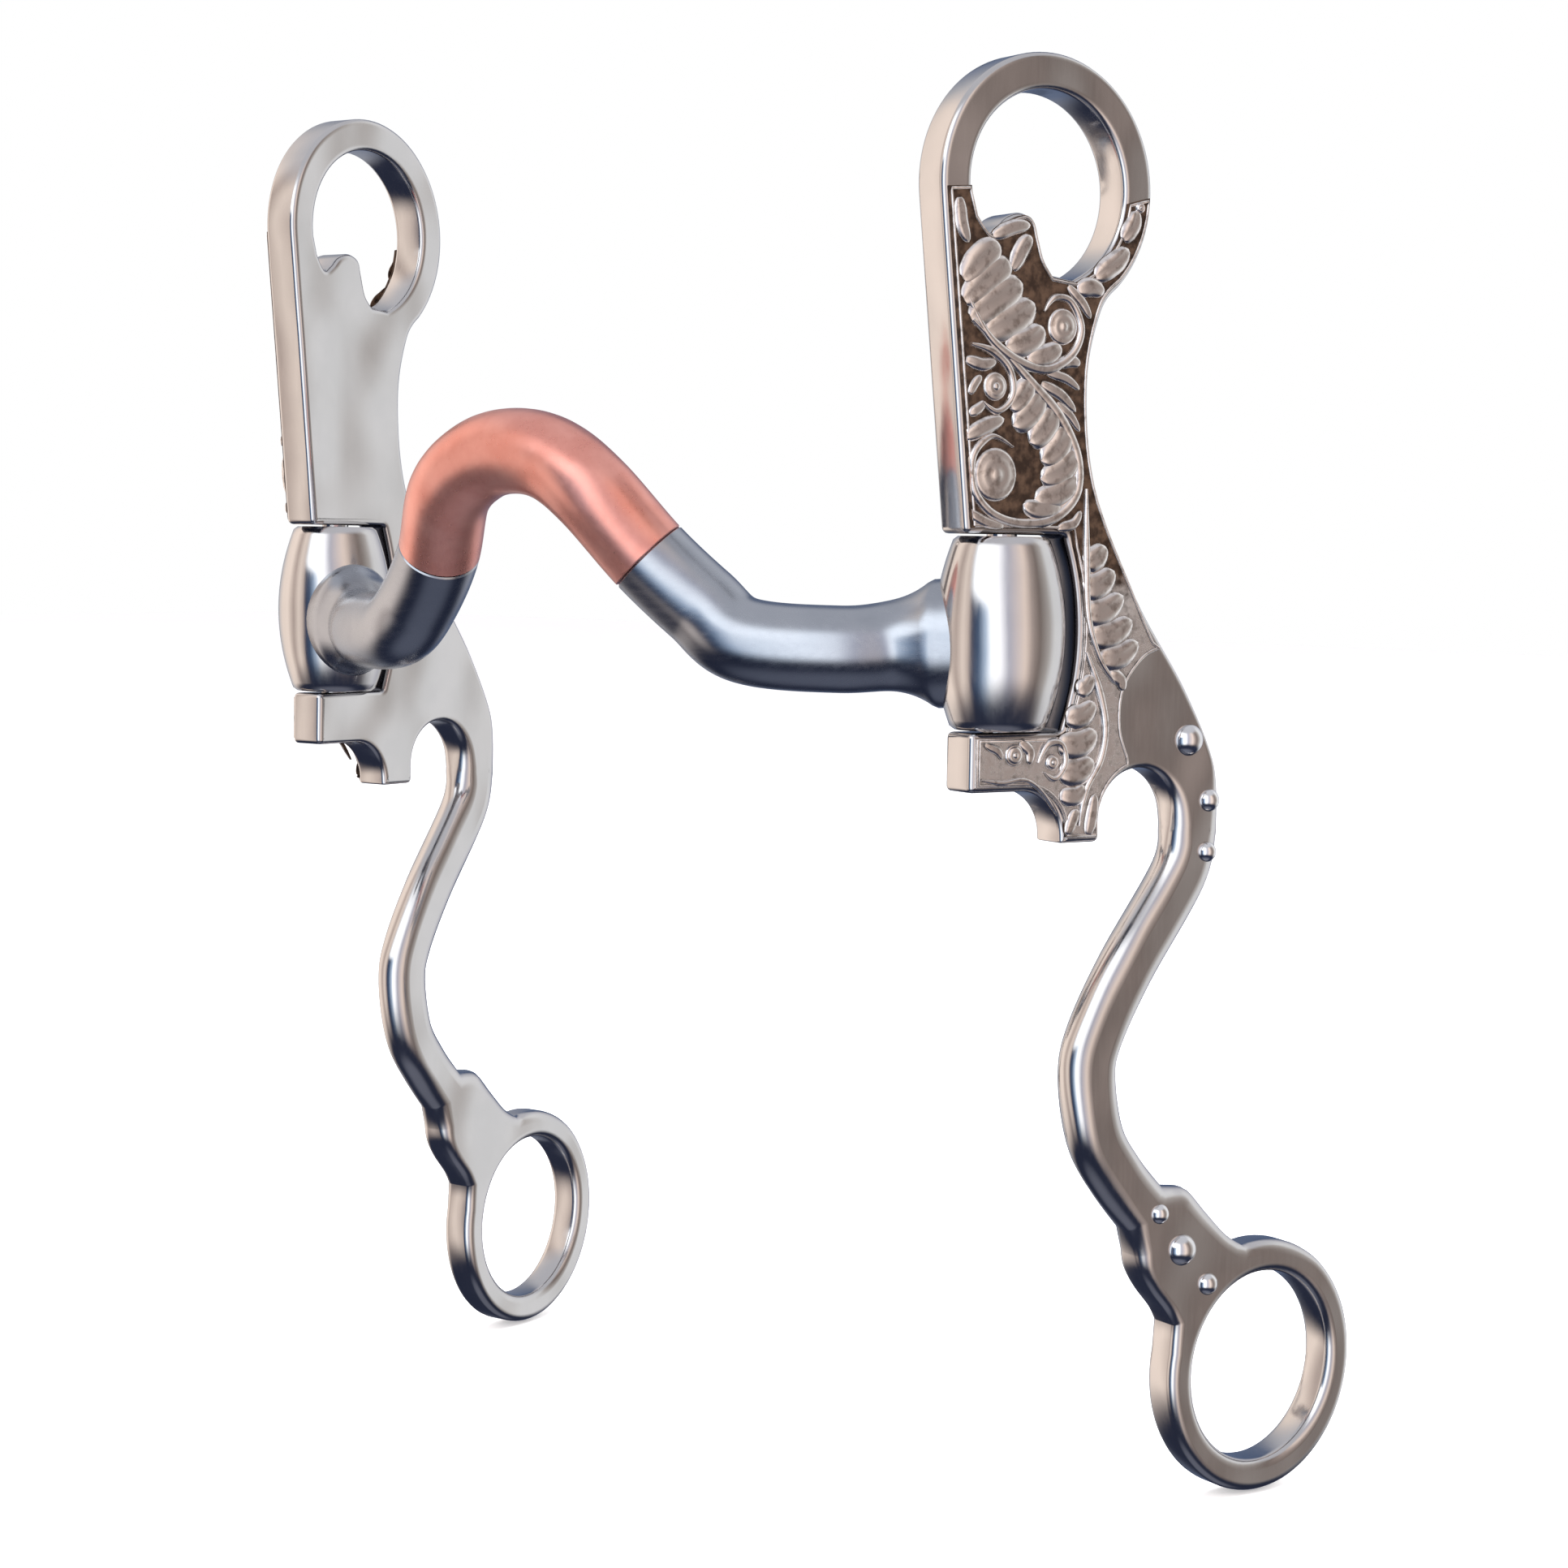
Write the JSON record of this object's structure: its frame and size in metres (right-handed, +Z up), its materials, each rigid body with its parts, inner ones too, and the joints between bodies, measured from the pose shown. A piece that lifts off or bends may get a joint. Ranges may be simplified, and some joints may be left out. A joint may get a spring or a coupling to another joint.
{
  "type": "curb bit",
  "caption": "Loose-jaw curb bit: curved shank cheeks hinged on barrels at the ends of a ported bar with a copper sleeve, scroll overlays and domed studs.",
  "frame": {"origin": "midway between the two hinge axes, at the height of the middle of the barrels", "axes": "+X along the mouthpiece to the right cheek, -Y to the front, +Y to the rein rings, +Z up"},
  "size_m": [0.1707, 0.1066, 0.2164],
  "materials": {
    "satin_steel": "satin, softly polished edges",
    "polished_steel": "bright polish",
    "engraved_silver": "raised scrolls, dark antiqued ground",
    "copper": "satin copper",
    "bar_steel": "smooth satin"
  },
  "bodies": {
    "mouthpiece": {"mouthpiece_bar": "bar_steel", "copper_sleeve": "copper", "left_hinge_barrel": "satin_steel", "right_hinge_barrel": "satin_steel"},
    "left_cheek": {"left_cheek": "satin_steel", "left_overlay_panel": "engraved_silver", "left_hinge_pin": "satin_steel", "left_upper_large_stud": "polished_steel", "left_upper_medium_stud": "polished_steel", "left_upper_small_stud": "polished_steel", "left_lower_large_stud": "polished_steel", "left_lower_medium_stud": "polished_steel", "left_lower_small_stud": "polished_steel"},
    "right_cheek": {"right_cheek": "satin_steel", "right_overlay_panel": "engraved_silver", "right_hinge_pin": "satin_steel", "right_upper_large_stud": "polished_steel", "right_upper_medium_stud": "polished_steel", "right_upper_small_stud": "polished_steel", "right_lower_large_stud": "polished_steel", "right_lower_medium_stud": "polished_steel", "right_lower_small_stud": "polished_steel"}
  },
  "joints": [
    {"name": "left_cheek_swing", "type": "hinge", "parent": "mouthpiece", "child": "left_cheek", "pos_m": [-0.067, 0, 0], "axis": [0, 0, 1], "range_deg": [-43, 37]},
    {"name": "right_cheek_swing", "type": "hinge", "parent": "mouthpiece", "child": "right_cheek", "pos_m": [0.067, 0, 0], "axis": [0, 0, 1], "range_deg": [-19.5, 60.5]}
  ]
}
